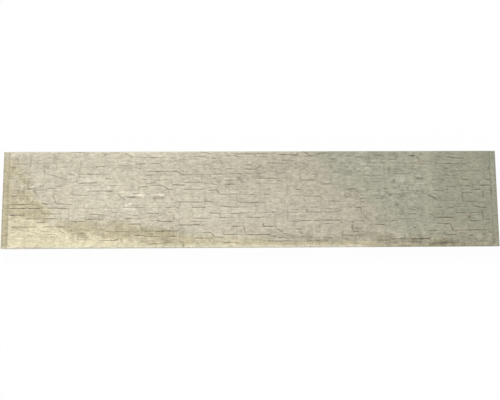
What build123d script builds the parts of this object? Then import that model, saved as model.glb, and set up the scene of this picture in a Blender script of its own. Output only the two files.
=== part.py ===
from build123d import *
import math
import os

# Concrete fence panel, one casting. It lies flat on its back with the stone face up.
# X runs along the panel, Y across it towards its upper long edge, Z out of the stone face.
# The origin is under the middle of the panel, on the flat back. All sizes are millimetres.

LENGTH = 1840.0          # clear bay between posts plus the two ends that sit in them
HEIGHT = 360.0           # lower long edge to upper long edge
THICKNESS = 40.0         # back to the top of the proudest stones
RELIEF = 6.0             # joint bed to the top of the proudest stones

END_THICKNESS = 33.0     # outer end face, which enters the post groove first
END_BEVEL = 9.0          # width of the bevel between the end face and the rim
RIM_WIDTH = 9.5          # flat rim along each end
RIM_RISE = 2.0           # rim above the joint bed
RIM_FALL = 2.0           # width of the slope from the rim down to the joint bed
GROOVE_WIDTH = 7.5       # from the rim to the first stones, the slope included

EDGE_GAP = 3.0           # plain bed between each long edge and the stones
ARRIS = 1.5              # chamfer along the two long edges of the back and of the bed
DRAFT = 15.0             # lean of the stones' sides, so that the casting leaves its mould
SMALLEST_WIDTH = 5.0     # a stone that an edge cuts narrower than this is left out
SMALLEST_COURSE = 2.9    # and one that it cuts lower than this

BED = THICKNESS - RELIEF
RIM_TOP = BED + RIM_RISE
FIELD_START = END_BEVEL + RIM_WIDTH + GROOVE_WIDTH

# The mould liner, a mat of split-stone walling. Each stone is its foot on the joint bed,
# measured from the liner's lower left corner: left, right, bottom, top, how proud it stands,
# and, where its sides slant, the left and right of its upper side.
LINER_HEIGHT = 360.0
LINER_RELIEF = 6.0           # relief for which the stones' heights below are given
LINER_REPEAT_START = 266.0   # where on the liner its second run takes up
LINER_REPEAT = 1150.0        # from a stone to the same stone in the next run
LINER_DROP = 2.0             # how much lower each further run lies
JOINT = 2.0                  # between the feet of neighbouring stones

LINER_STONES = [
    # first quarter, lower half
    (16, 86, 3, 42, 3.5), (88, 230, 3, 43, 4.5, 88, 206),
    (16, 98, 44, 60, 3.5), (16, 98, 62, 77, 3.5), (100, 148, 44, 51, 3), (100, 172, 53, 77, 4),
    (150, 206, 45, 51, 4), (174, 214, 53, 79, 3.5),
    (16, 39, 79, 122, 3.5), (41, 129, 80, 108, 5.5), (131, 157, 97, 109, 4), (131, 157, 79, 95, 3.5),
    (159, 230, 82, 108, 5), (232, 256, 81, 97, 3), (232, 245, 99, 108, 3),
    (41, 84, 111, 122, 3), (86, 121, 110, 147, 4.5), (123, 145, 111, 147, 3.5),
    (147, 196, 111, 126, 4.5), (147, 216, 129, 147, 4), (198, 218, 110, 127, 3.5),
    (220, 245, 110, 147, 3), (16, 84, 125, 147, 4.5),
    (33, 131, 150, 161, 5.5), (133, 165, 150, 162, 4), (167, 257, 150, 162, 4.5),
    (16, 31, 150, 192, 3), (33, 114, 164, 192, 4.5), (116, 147, 164, 192, 3.5),
    (149, 195, 165, 220, 3.5, 149, 188), (198, 257, 164, 198, 4.5, 190, 257),
    # first quarter, upper half
    (193, 257, 200, 228, 3), (16, 78, 195, 257, 3.5), (80, 94, 195, 257, 3),
    (96, 119, 222, 257, 4.5), (96, 119, 195, 219, 3.5), (121, 147, 194, 214, 3),
    (121, 147, 217, 228, 4), (121, 147, 230, 256, 3), (149, 191, 223, 256, 4),
    (193, 222, 231, 255, 4.5), (224, 272, 230, 256, 3),
    (16, 60, 259, 298, 3), (62, 124, 259, 298, 3.5), (126, 151, 259, 298, 3.5),
    (153, 196, 273, 313, 4.5), (198, 262, 258, 275, 3), (198, 262, 277, 298, 4),
    (153, 196, 258, 271, 3.5), (16, 52, 300, 338, 3), (54, 99, 300, 311, 3.5),
    (54, 99, 314, 338, 4.5), (101, 151, 300, 313, 3), (101, 143, 315, 325, 3.5),
    (101, 143, 328, 340, 4), (145, 187, 315, 335, 4), (189, 206, 320, 357, 3.5),
    (198, 250, 300, 318, 3), (208, 250, 321, 352, 4), (208, 250, 354, 357, 3.5),
    (252, 284, 300, 335, 4.5), (252, 284, 338, 354, 3.5),
    (16, 60, 340, 357, 3), (62, 143, 342, 357, 3.5), (145, 187, 337, 357, 3),
    # second quarter, lower half
    (233, 282, 3, 30, 3.5, 219, 282), (284, 356, 3, 31, 3.5), (358, 428, 3, 28, 3),
    (430, 486, 3, 44, 3.5), (488, 528, 3, 44, 3), (530, 600, 3, 16, 3.5), (530, 600, 18, 42, 3),
    (602, 620, 3, 19, 3.5), (602, 652, 21, 42, 3), (622, 655, 3, 19, 3),
    (218, 256, 32, 53, 3.5, 209, 256), (258, 282, 32, 52, 3), (284, 334, 33, 53, 4.5),
    (336, 356, 33, 53, 3.5), (358, 428, 31, 60, 5.5), (430, 485, 47, 60, 3),
    (487, 526, 48, 61, 5.5), (528, 600, 45, 61, 3.5), (602, 616, 45, 62, 3), (618, 652, 45, 62, 5),
    (216, 256, 55, 79, 3), (258, 304, 55, 97, 4), (306, 346, 55, 82, 3.5), (306, 346, 84, 105, 3.5),
    (348, 356, 55, 80, 4), (358, 372, 62, 80, 4), (348, 384, 82, 105, 5), (374, 418, 63, 80, 4),
    (386, 418, 82, 108, 4), (420, 514, 63, 88, 3.5, 420, 508), (420, 510, 91, 107, 4.5),
    (516, 552, 65, 99, 4, 512, 552), (554, 573, 65, 98, 3.5), (575, 650, 65, 95, 4.5),
    (247, 306, 100, 147, 6), (308, 372, 108, 123, 4.5), (308, 330, 125, 147, 3.5),
    (332, 398, 126, 147, 4.5), (374, 398, 108, 124, 4), (400, 430, 110, 147, 3.5),
    (441, 524, 110, 121, 5.5, 434, 524), (432, 524, 124, 148, 3.5), (514, 524, 101, 108, 4.5),
    (526, 573, 101, 126, 4), (575, 629, 99, 130, 5.5), (631, 651, 97, 129, 3.5),
    (653, 665, 108, 129, 4), (526, 573, 129, 149, 5), (575, 629, 132, 149, 3.5),
    (631, 665, 131, 148, 4), (259, 302, 150, 194, 4), (304, 324, 149, 195, 4.5),
    (326, 345, 149, 178, 3.5), (347, 396, 149, 178, 3), (398, 430, 149, 175, 3.5),
    (432, 444, 150, 175, 3), (446, 520, 151, 157, 4), (446, 552, 160, 178, 4.5),
    (522, 604, 151, 158, 4), (554, 604, 160, 168, 3), (606, 650, 152, 168, 5.5),
    # second quarter, upper half
    (326, 396, 180, 195, 3.5), (398, 444, 177, 197, 3, 398, 426), (444, 552, 180, 197, 5, 429, 552),
    (554, 636, 170, 202, 5), (638, 665, 170, 198, 3.5), (259, 312, 197, 228, 5),
    (314, 324, 197, 209, 3), (326, 406, 197, 209, 3.5), (314, 322, 211, 228, 4),
    (324, 406, 212, 231, 5.5), (408, 446, 199, 229, 3.5), (448, 500, 200, 210, 4),
    (448, 498, 212, 229, 5), (502, 552, 199, 225, 3.5), (554, 610, 204, 215, 3.5),
    (500, 546, 228, 239, 5), (554, 606, 218, 230, 4, 554, 590), (548, 592, 233, 250, 5.5),
    (612, 636, 216, 231, 5, 596, 636), (612, 636, 204, 214, 3.5), (638, 672, 200, 231, 3.5),
    (626, 670, 234, 250, 6), (274, 281, 230, 258, 3.5), (283, 322, 230, 239, 4),
    (283, 345, 242, 272, 6), (324, 378, 233, 240, 4), (347, 378, 242, 272, 3.5),
    (380, 406, 233, 255, 3), (380, 406, 258, 272, 5), (408, 474, 231, 254, 4),
    (476, 498, 231, 254, 4), (500, 546, 241, 254, 4), (548, 592, 252, 269, 4),
    (594, 624, 233, 250, 3.5), (594, 670, 252, 270, 4), (408, 474, 257, 268, 3.5),
    (476, 546, 257, 269, 5), (264, 281, 260, 298, 3), (283, 370, 275, 300, 5.5),
    (372, 406, 274, 300, 3.5), (408, 474, 270, 283, 3.5), (476, 526, 271, 283, 4),
    (528, 560, 271, 282, 4), (562, 650, 272, 282, 4), (286, 344, 302, 318, 3.5),
    (346, 373, 303, 318, 6), (375, 406, 302, 318, 3.5), (408, 424, 307, 318, 3.5),
    (408, 488, 286, 305, 4), (490, 528, 285, 296, 3.5), (490, 582, 298, 310, 4),
    (530, 582, 286, 296, 5), (588, 650, 286, 318, 5.5, 585, 650), (426, 488, 308, 320, 4),
    (490, 528, 313, 337, 5), (530, 582, 313, 334, 5.5), (584, 650, 320, 334, 3.5),
    (426, 488, 322, 338, 3.5), (375, 424, 320, 333, 3.5), (286, 344, 320, 357, 3.5),
    (346, 373, 320, 349, 4), (346, 373, 351, 357, 3), (375, 404, 336, 349, 3),
    (375, 404, 352, 357, 3), (406, 458, 340, 357, 4, 406, 447), (464, 528, 341, 357, 4.5, 452, 528),
    (530, 600, 337, 357, 5.5), (602, 650, 337, 357, 3.5),
    # third quarter, lower half
    (657, 700, 3, 33, 3.5), (702, 775, 3, 34, 3.5), (777, 812, 3, 36, 3.5), (814, 862, 3, 17, 3.5),
    (864, 938, 3, 15, 3.5), (814, 862, 20, 46, 4), (864, 893, 18, 46, 3), (895, 980, 18, 45, 4),
    (940, 1088, 3, 15, 3.5), (982, 1088, 17, 22, 3), (982, 1050, 25, 42, 4.5),
    (1052, 1088, 25, 43, 4.5), (1090, 1150, 3, 20, 3.5), (1090, 1150, 23, 52, 4.5),
    (654, 700, 35, 54, 4), (702, 778, 37, 55, 4.5, 702, 774), (782, 812, 39, 77, 5.5, 771, 812),
    (817, 862, 49, 77, 5.5), (864, 893, 48, 77, 4.5, 864, 889), (897, 985, 49, 76, 5.5, 892, 985),
    (654, 769, 58, 83, 4.5), (987, 1032, 45, 54, 4), (987, 1026, 57, 68, 4), (987, 1050, 70, 76, 4),
    (1036, 1088, 46, 68, 4.5, 1029, 1088), (1090, 1140, 54, 68, 3.5), (1152, 1170, 36, 52, 3.5),
    (653, 690, 86, 106, 5), (692, 727, 87, 95, 6), (729, 767, 86, 95, 4), (769, 815, 80, 95, 3.5),
    (692, 745, 98, 107, 4), (747, 815, 98, 109, 3.5), (817, 890, 80, 109, 4.5),
    (892, 961, 79, 109, 4), (964, 1002, 80, 108, 6), (1004, 1050, 78, 101, 3.5),
    (1052, 1078, 70, 94, 3.5), (1080, 1100, 70, 94, 4), (1052, 1098, 96, 102, 3.5),
    (1102, 1140, 70, 97, 3.5), (1142, 1166, 54, 97, 3.5), (667, 701, 109, 131, 3.5),
    (667, 701, 133, 148, 3.5), (703, 762, 111, 148, 5.5), (764, 802, 129, 148, 5),
    (764, 801, 112, 126, 3.5), (804, 850, 112, 125, 5.5), (852, 905, 112, 125, 4),
    (804, 842, 128, 150, 3.5), (844, 905, 128, 148, 5), (907, 962, 112, 127, 5.5),
    (907, 985, 130, 148, 4), (964, 1004, 110, 127, 3.5), (987, 1012, 131, 148, 5.5),
    (1014, 1050, 128, 148, 3.5), (1006, 1050, 104, 126, 3.5), (1053, 1098, 104, 125, 4.5),
    (1053, 1096, 129, 139, 4), (1053, 1120, 141, 148, 3.5), (1100, 1140, 100, 127, 5),
    (1142, 1166, 100, 127, 4.5), (1098, 1121, 129, 139, 4), (1123, 1174, 130, 147, 5),
    # third quarter, upper half
    (652, 700, 150, 168, 3.5), (702, 745, 151, 167, 5), (747, 790, 150, 169, 3.5),
    (792, 836, 153, 164, 4), (838, 880, 152, 165, 4.5), (882, 930, 150, 165, 3.5),
    (932, 968, 150, 165, 3.5), (970, 990, 150, 196, 3.5), (992, 1030, 150, 196, 4.5),
    (1032, 1064, 150, 196, 4), (1066, 1112, 150, 191, 3.5), (1114, 1172, 150, 190, 4),
    (667, 702, 172, 198, 5), (704, 745, 171, 199, 4.5), (747, 792, 173, 211, 5),
    (794, 862, 167, 196, 4), (864, 930, 168, 196, 5.5), (932, 968, 168, 196, 4),
    (1066, 1104, 194, 213, 4.5), (1106, 1176, 193, 208, 5.5), (674, 745, 201, 215, 3.5),
    (798, 880, 199, 232, 4.5, 796, 880), (882, 962, 199, 214, 4.5), (964, 990, 199, 214, 5.5),
    (992, 1050, 199, 234, 3.5), (1052, 1064, 199, 213, 3.5), (1052, 1080, 215, 255, 4),
    (1082, 1101, 216, 255, 5), (1106, 1176, 211, 226, 3.5), (674, 745, 218, 240, 5),
    (747, 758, 213, 238, 4.5), (760, 794, 214, 236, 5), (882, 938, 218, 255, 3.5),
    (940, 990, 216, 236, 4), (1103, 1176, 229, 247, 4), (672, 732, 243, 270, 6),
    (734, 766, 242, 270, 3.5), (768, 800, 238, 256, 4), (802, 880, 235, 251, 3.5),
    (802, 880, 254, 272, 4), (768, 800, 258, 272, 4), (940, 1012, 238, 255, 4),
    (950, 1050, 258, 276, 5.5), (1014, 1050, 236, 256, 3.5), (1052, 1100, 257, 288, 4),
    (1103, 1160, 251, 272, 6), (1162, 1180, 250, 272, 3.5), (882, 948, 258, 272, 3.5),
    (652, 706, 273, 295, 5.5), (708, 774, 272, 295, 4.5), (776, 822, 275, 291, 5),
    (824, 880, 276, 291, 5), (882, 938, 275, 290, 3.5), (940, 1032, 278, 298, 3.5),
    (1034, 1086, 290, 310, 3.5), (1034, 1050, 278, 288, 4), (1088, 1101, 290, 313, 3),
    (1103, 1130, 274, 313, 4), (1132, 1172, 274, 300, 4.5), (652, 774, 298, 337, 4),
    (776, 842, 293, 313, 5), (844, 880, 293, 337, 3.5), (882, 938, 293, 305, 4.5),
    (895, 938, 308, 325, 5.5), (940, 982, 300, 325, 3.5), (882, 893, 308, 325, 4),
    (984, 1034, 316, 345, 5), (984, 1032, 300, 313, 3.5), (1036, 1086, 313, 324, 4.5),
    (1036, 1086, 327, 345, 4), (1088, 1130, 316, 338, 3.5), (1132, 1172, 303, 339, 3.5),
    (776, 808, 316, 340, 4.5, 776, 794), (812, 842, 316, 340, 3.5, 798, 842),
    (652, 745, 340, 357, 5), (747, 774, 339, 357, 4), (776, 800, 343, 357, 4),
    (802, 860, 343, 357, 4.5), (862, 976, 350, 357, 5.5), (862, 880, 340, 347, 3.5),
    (882, 982, 328, 347, 3.5), (978, 1008, 349, 357, 3.5), (1010, 1090, 348, 357, 6),
    (1092, 1136, 341, 357, 3, 1092, 1113), (1141, 1172, 342, 357, 5, 1118, 1172),
    # fourth quarter, lower half
    (1152, 1204, 3, 21, 3.5), (1152, 1204, 24, 34, 4), (1206, 1252, 3, 34, 3.5),
    (1254, 1300, 3, 41, 4), (1302, 1385, 3, 24, 3.5), (1302, 1340, 26, 54, 3.5),
    (1387, 1414, 3, 24, 3), (1172, 1204, 36, 74, 4), (1206, 1252, 37, 74, 4.5),
    (1254, 1299, 44, 60, 4.5, 1254, 1296), (1342, 1385, 26, 53, 3.5), (1387, 1414, 27, 49, 4),
    (1168, 1252, 77, 86, 4), (1168, 1253, 89, 98, 4.5), (1256, 1292, 62, 96, 3.5),
    (1298, 1345, 58, 96, 5, 1295, 1345), (1349, 1381, 56, 81, 4), (1383, 1414, 51, 81, 4),
    (1168, 1253, 101, 126, 5.5, 1168, 1250), (1256, 1341, 99, 146, 4.5, 1251, 1322),
    (1349, 1381, 84, 112, 4.5, 1341, 1381), (1383, 1414, 85, 112, 5.5),
    (1176, 1249, 129, 141, 4.5), (1176, 1248, 144, 168, 3.5), (1337, 1381, 115, 147, 3.5, 1326, 1381),
    (1383, 1414, 115, 147, 4), (1250, 1322, 149, 186, 3.5), (1194, 1248, 171, 190, 5.5, 1178, 1248),
    (1174, 1190, 170, 188, 4, 1174, 1176), (1324, 1350, 149, 166, 4), (1352, 1414, 149, 166, 3.5),
    # fourth quarter, upper half
    (1178, 1248, 192, 210, 3.5), (1268, 1317, 189, 214, 5, 1268, 1306), (1250, 1266, 189, 214, 3.5),
    (1324, 1350, 169, 178, 4.5), (1324, 1414, 181, 206, 4.5, 1313, 1414), (1352, 1414, 169, 178, 4),
    (1178, 1248, 212, 232, 3.5), (1250, 1312, 217, 236, 4), (1314, 1350, 208, 236, 3.5),
    (1352, 1414, 208, 222, 4), (1352, 1414, 224, 240, 3.5), (1182, 1216, 235, 252, 6),
    (1218, 1266, 235, 277, 3.5), (1182, 1216, 255, 277, 3.5), (1268, 1338, 239, 264, 4.5),
    (1340, 1414, 243, 265, 4.5), (1174, 1234, 279, 300, 3.5), (1236, 1266, 279, 300, 4.5),
    (1268, 1308, 267, 300, 3.5), (1310, 1338, 284, 300, 5.5), (1310, 1338, 267, 282, 4),
    (1340, 1414, 268, 300, 4), (1174, 1208, 303, 327, 3.5), (1210, 1252, 303, 327, 4),
    (1254, 1308, 303, 313, 3.5), (1254, 1308, 316, 338, 4.5), (1310, 1358, 303, 333, 3.5),
    (1360, 1414, 303, 313, 3.5), (1360, 1414, 316, 342, 4.5), (1174, 1208, 330, 350, 3.5),
    (1210, 1252, 330, 357, 5), (1174, 1208, 353, 357, 5), (1254, 1316, 341, 357, 4),
    (1318, 1358, 336, 357, 5.5), (1360, 1414, 345, 357, 4),
]


half_length = LENGTH / 2
half_height = HEIGHT / 2


def stone_foot(stone, origin, window):
    """The four corners of a stone's foot, with the liner's corner at origin, cut to a window."""
    left, right, bottom, top, proud, *upper_side = stone
    upper_left, upper_right = upper_side or (left, right)
    (low_x, low_y), (high_x, high_y) = window
    corners = [(left, bottom), (right, bottom), (upper_right, top), (upper_left, top)]
    return [
        (
            min(max(origin[0] + x, low_x), high_x) - half_length,
            min(max(origin[1] + y, low_y), high_y) - half_height,
        )
        for x, y in corners
    ]


def is_whole_enough(foot):
    """True unless the cut has left only a sliver of the stone, too narrow for its drafted sides."""
    (x0, y0), (x1, y1), (x2, y2), (x3, y3) = foot
    return min(x1 - x0, x2 - x3) > SMALLEST_WIDTH and y2 - y1 > SMALLEST_COURSE


def lay_liner():
    """The stones on the panel's face: for each height they stand proud, the feet of its stones.

    The liner starts at the panel's lower left corner. Where a run ends, the next takes up along
    the panel, and another row of runs follows above. Each run is trimmed where the next begins,
    and the mould's sides cut off the rest.
    """
    feet_by_height = {}
    runs = max(math.ceil((LENGTH - LINER_REPEAT_START) / LINER_REPEAT), 1)
    rows = math.ceil(HEIGHT / LINER_HEIGHT)
    for row in range(rows):
        row_start = row * LINER_HEIGHT
        low_y = max(row_start, EDGE_GAP)
        high_y = min(row_start + LINER_HEIGHT - JOINT, HEIGHT - EDGE_GAP)
        for run in range(runs):
            run_start = LINER_REPEAT_START + run * LINER_REPEAT if run > 0 else 0
            run_end = LINER_REPEAT_START + (run + 1) * LINER_REPEAT
            low_x = max(run_start + JOINT / 2, FIELD_START)
            high_x = min(run_end - JOINT / 2, LENGTH - FIELD_START)
            origin = (run * LINER_REPEAT, row_start - run * LINER_DROP)
            for stone in LINER_STONES:
                foot = stone_foot(stone, origin, ((low_x, low_y), (high_x, high_y)))
                if is_whole_enough(foot):
                    feet_by_height.setdefault(stone[4], []).append(foot)
    return feet_by_height


# The casting's cross-section along its length, the same over its whole height: a flat back,
# and on the face a bevel, a rim and a fall to the joint bed at each end.
rim_outer = half_length - END_BEVEL
rim_inner = rim_outer - RIM_WIDTH
bed_end = rim_inner - RIM_FALL
right_half = [
    (0, 0),
    (half_length, 0),
    (half_length, END_THICKNESS),
    (rim_outer, RIM_TOP),
    (rim_inner, RIM_TOP),
    (bed_end, BED),
    (0, BED),
]

with BuildPart() as panel:
    with BuildSketch(Plane.XZ):
        with BuildLine():
            Polyline(*right_half)
            mirror(about=Plane.YZ)
        make_face()
    extrude(amount=half_height, both=True)

    # The lengthwise corners of the two long sides have a small arris.
    for side in panel.faces().filter_by(Axis.Y):
        lengthwise = side.edges().filter_by(Axis.Z, reverse=True)
        chamfer(lengthwise, length=ARRIS)

    # The stones stand on the joint bed, with drafted sides. Stones of one height rise together.
    stones = []
    for proud, feet in lay_liner().items():
        with BuildSketch(Plane.XY.offset(BED)):
            add([Polygon(*foot, align=None, mode=Mode.PRIVATE) for foot in feet])
        height = proud * RELIEF / LINER_RELIEF
        stones.append(extrude(amount=height, taper=DRAFT, mode=Mode.PRIVATE))
    add(stones)

panel.part.label = "panel"
os.makedirs("parts", exist_ok=True)
export_step(panel.part, "parts/panel.step")
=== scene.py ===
import math

import bmesh
import bpy
import numpy as np
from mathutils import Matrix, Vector


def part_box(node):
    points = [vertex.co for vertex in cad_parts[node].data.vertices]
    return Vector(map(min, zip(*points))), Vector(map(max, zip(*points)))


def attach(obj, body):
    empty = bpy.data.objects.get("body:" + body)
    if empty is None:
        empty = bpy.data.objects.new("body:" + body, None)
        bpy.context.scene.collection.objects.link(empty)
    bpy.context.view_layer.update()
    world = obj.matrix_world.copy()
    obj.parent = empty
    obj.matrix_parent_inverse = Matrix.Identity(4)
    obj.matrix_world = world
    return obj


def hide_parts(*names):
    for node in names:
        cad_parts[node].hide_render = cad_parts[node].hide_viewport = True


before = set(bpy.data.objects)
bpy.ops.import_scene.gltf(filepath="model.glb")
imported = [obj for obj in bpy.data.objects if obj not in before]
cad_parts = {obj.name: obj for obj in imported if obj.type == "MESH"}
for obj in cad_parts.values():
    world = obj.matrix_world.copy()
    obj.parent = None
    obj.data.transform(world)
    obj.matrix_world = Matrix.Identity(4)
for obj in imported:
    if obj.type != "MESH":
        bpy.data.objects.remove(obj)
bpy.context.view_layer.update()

# The casting. One piece of vibrated concrete, poured face down on a rubber liner that is moulded
# from split-stone walling. Its plain rimmed ends slide into the grooves of the posts. The face
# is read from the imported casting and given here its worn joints, split faces and weathering.
low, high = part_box("panel")
HALF_LENGTH = high.x
HALF_HEIGHT = high.y
BED = 0.034                                            # joint bed above the flat back
ARRIS = 0.0015
END_WIDTHS = (0.0, 0.009, 0.0185, 0.0205, 0.026)       # end face, bevel, rim, fall to the bed
END_LEVELS = (0.033, 0.036, 0.036, 0.034, 0.034)
END_LINES = (0.0, 0.0012, 0.005, 0.009, 0.0138, 0.0185, 0.0205, 0.023, 0.026)   # of the mesh
DRAFT = math.tan(math.radians(15))
CELLS_ALONG = 440                                      # of the stone field, between the two ends
CELLS_ACROSS = 212
MM = 0.001

# The grid of the face: set lines at each end, and even ones over the stones.
field_end = HALF_LENGTH - END_LINES[-1]
field_lines = np.linspace(-field_end, field_end, CELLS_ALONG + 1)
end_lines = np.array(END_LINES[:-1])
x_lines = np.concatenate([end_lines - HALF_LENGTH, field_lines, HALF_LENGTH - end_lines[::-1]])
inner_lines = np.linspace(ARRIS - HALF_HEIGHT, HALF_HEIGHT - ARRIS, CELLS_ACROSS - 1)
y_lines = np.concatenate([[-HALF_HEIGHT], inner_lines, [HALF_HEIGHT]])
x_grid, y_grid = np.meshgrid(x_lines, y_lines, indexing="ij")
from_end = HALF_LENGTH - abs(x_grid)
from_left = x_grid + HALF_LENGTH
from_bottom = y_grid + HALF_HEIGHT


def ease(t):
    """A soft step from 0 to 1, by 3t^2 - 2t^3."""
    t = np.clip(t, 0, 1)
    return t * t * (3 - 2 * t)


def noise(cell_x, cell_y, seed, octaves=1):
    """Smooth noise between about -1 and 1 over the face: random values on a lattice of that cell,
    and between them a blend by 3t^2 - 2t^3 along both ways. Each further octave has half the
    cell and 0.6 of the height of the one before.
    """
    random = np.random.default_rng(seed)
    total = np.zeros(x_grid.shape)
    for octave in range(octaves):
        u = from_left * 2 ** octave / cell_x
        v = from_bottom * 2 ** octave / cell_y
        lattice = random.uniform(-1, 1, (int(u.max()) + 2, int(v.max()) + 2))
        i = u.astype(int)
        j = v.astype(int)
        s = ease(u - i)
        t = ease(v - j)
        near = lattice[i, j] * (1 - s) + lattice[i + 1, j] * s
        far = lattice[i, j + 1] * (1 - s) + lattice[i + 1, j + 1] * s
        total += 0.6 ** octave * (near * (1 - t) + far * t)
    return total


def window_over(low_corner, high_corner):
    """The columns and rows of the grid that lie between two corners."""
    columns = slice(*np.searchsorted(x_lines, (low_corner[0], high_corner[0])))
    rows = slice(*np.searchsorted(y_lines, (low_corner[1], high_corner[1])))
    return columns, rows


# Its stones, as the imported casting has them.
def stones_of(node):
    """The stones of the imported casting: each level face above the joint bed, as corners and level.

    The node's loose triangles are joined and flat neighbours are merged, so that each stone's
    top is one face again.
    """
    shape = bmesh.new()
    shape.from_mesh(node.data)
    bmesh.ops.remove_doubles(shape, verts=shape.verts, dist=1e-6)
    bmesh.ops.dissolve_limit(
        shape, angle_limit=math.radians(2), verts=shape.verts, edges=shape.edges)
    stones = []
    for face in shape.faces:
        level = face.calc_center_median().z
        corners = np.array([corner.co.xy for corner in face.verts])
        if face.normal.z > 0.99 and level > BED + 0.0005 and abs(corners).max() < field_end + 0.003:
            stones.append((corners, level))
    shape.free()
    return sorted(stones, key=lambda stone: tuple(np.round(stone[0].min(axis=0), 4)))


def depth_inside(corners, x, y):
    """How far each point lies inside a stone's outline: the least of its distances from the sides."""
    depth = np.full(x.shape, np.inf)
    for start, end in zip(corners, np.roll(corners, -1, axis=0)):
        along = (end - start) / np.linalg.norm(end - start)
        depth = np.minimum(depth, along[0] * (y - start[1]) - along[1] * (x - start[0]))
    return depth


WAVER = 0.0010               # how far the joints stray from straight lines
JOINT_DEPTH = 0.0005         # under the lower of the stones beside it
JOINT_REACH = 0.0045         # how far a stone's mortar reaches from its foot
MORTAR_LEVEL = 0.0374        # of the wider gaps between stones
SHOULDER_FOOT = 0.0008       # a stone rises from this far outside its foot
SHOULDER_TOP = 0.0014        # to this far inside
MEAN_LEVEL = 0.0380
LEVEL_SHARE = 0.28           # wear and mortar leave this much of the steps between stones
FACE_TILT = 0.0004           # how far a split face leans, each way
LEDGE_HEIGHT = 0.0004        # of the slanting ledge across a split face
FIELD_START = 0.024          # the stones come up from the plain end from here,
FIELD_FADE = 0.003           # over this length

waver_x = WAVER * noise(0.021, 0.021, 1, 2)
waver_y = 0.8 * WAVER * noise(0.030, 0.030, 3, 2)
stone_level = np.zeros(x_grid.shape)
stone_depth = np.full(x_grid.shape, -JOINT_REACH)
joint_floor = np.full(x_grid.shape, np.inf)
stone_tone = np.zeros(x_grid.shape)
random = np.random.default_rng(7)
for corners, level in stones_of(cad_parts["panel"]):
    reach = 2 * JOINT_REACH
    window = window_over(corners.min(axis=0) - reach, corners.max(axis=0) + reach)
    x = x_grid[window] + waver_x[window]
    y = y_grid[window] + waver_y[window]
    depth = depth_inside(corners, x, y) + (level - BED) * DRAFT
    middle = corners.mean(axis=0)
    size = np.ptp(corners, axis=0)
    along = (x - middle[0]) / size[0]
    across = (y - middle[1]) / size[1]
    tilt_along, tilt_across, ledge_place, ledge_rise, tone = random.uniform(-1, 1, 5)
    worn_level = MEAN_LEVEL + LEVEL_SHARE * (level - MEAN_LEVEL)
    surface = worn_level + FACE_TILT * (tilt_along * along + tilt_across * across)
    surface += LEDGE_HEIGHT * ledge_rise * ease((across - 0.3 * ledge_place + 0.15 * along) / 0.12)
    near = depth > -JOINT_REACH
    joint_floor[window][near] = np.minimum(joint_floor[window][near], worn_level - JOINT_DEPTH)
    better = depth > stone_depth[window]
    stone_depth[window][better] = depth[better]
    stone_level[window][better] = surface[better]
    stone_tone[window][better] = tone

section = np.interp(from_end, END_WIDTHS, END_LEVELS)
joint_floor = np.where(np.isfinite(joint_floor), joint_floor, MORTAR_LEVEL)
rise = ease((stone_depth + SHOULDER_FOOT) / (SHOULDER_FOOT + SHOULDER_TOP))
height = joint_floor + (stone_level - joint_floor) * rise
in_field = ease((from_end - FIELD_START) / FIELD_FADE)
height = section + (height - section) * in_field

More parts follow.
